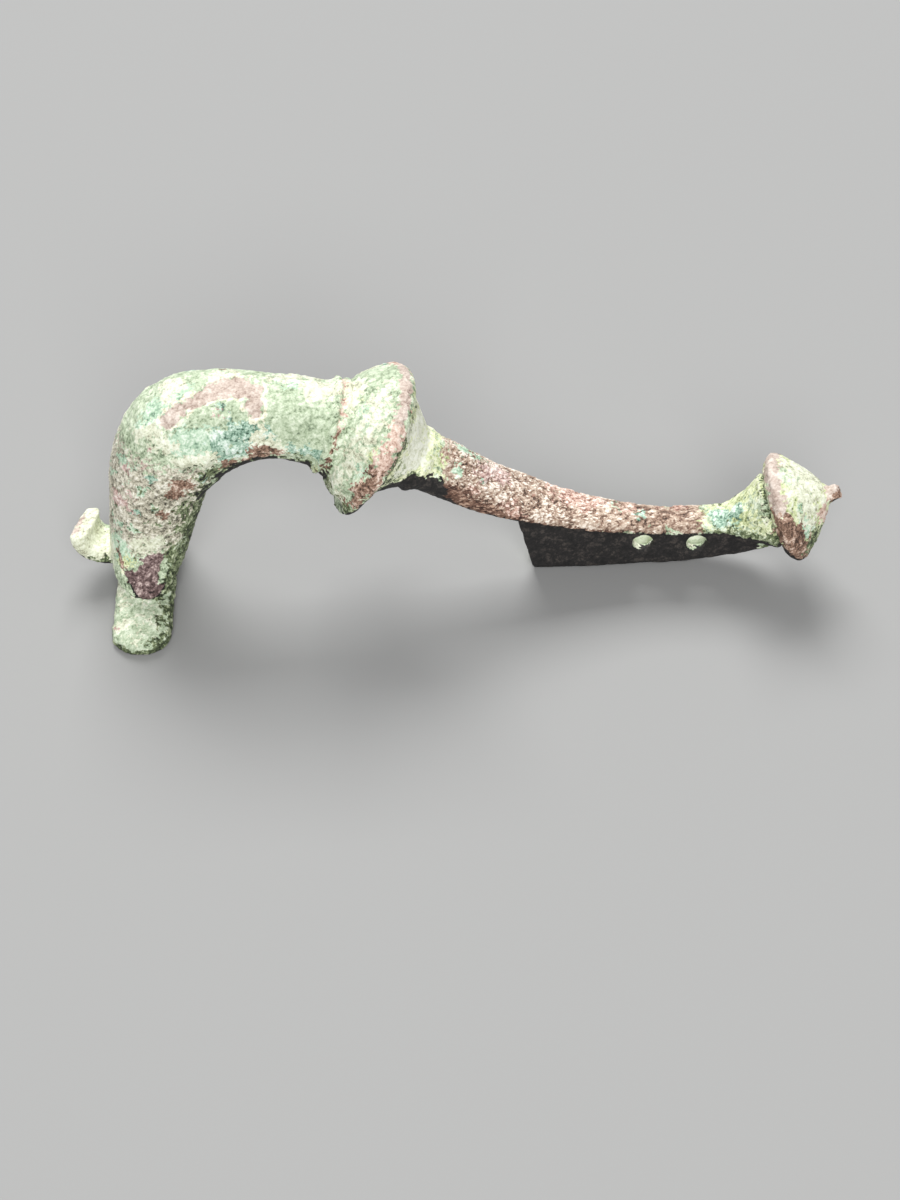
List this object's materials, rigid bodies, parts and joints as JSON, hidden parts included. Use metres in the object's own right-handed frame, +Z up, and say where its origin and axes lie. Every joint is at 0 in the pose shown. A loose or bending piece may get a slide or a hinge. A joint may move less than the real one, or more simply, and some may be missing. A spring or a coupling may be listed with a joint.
{
  "type": "roman bow brooch",
  "caption": "Cast bronze bow brooch with a humped bow, a round disc, a tapering strip over a pierced catch-plate and a foot knob; spring and pin lost.",
  "frame": {"origin": "middle of the brooch's box at the ground it stands on", "axes": "+X from the head to the foot knob, +Y to the side that the catch-plate folds to, +Z up"},
  "size_m": [0.0636, 0.0202, 0.0208],
  "materials": {
    "patinated_bronze": "matt granular patina: pale green malachite with turquoise, cream, copper-brown and near-black areas"
  },
  "bodies": {
    "root": {"brooch_casting": "patinated_bronze"}
  },
  "joints": []
}
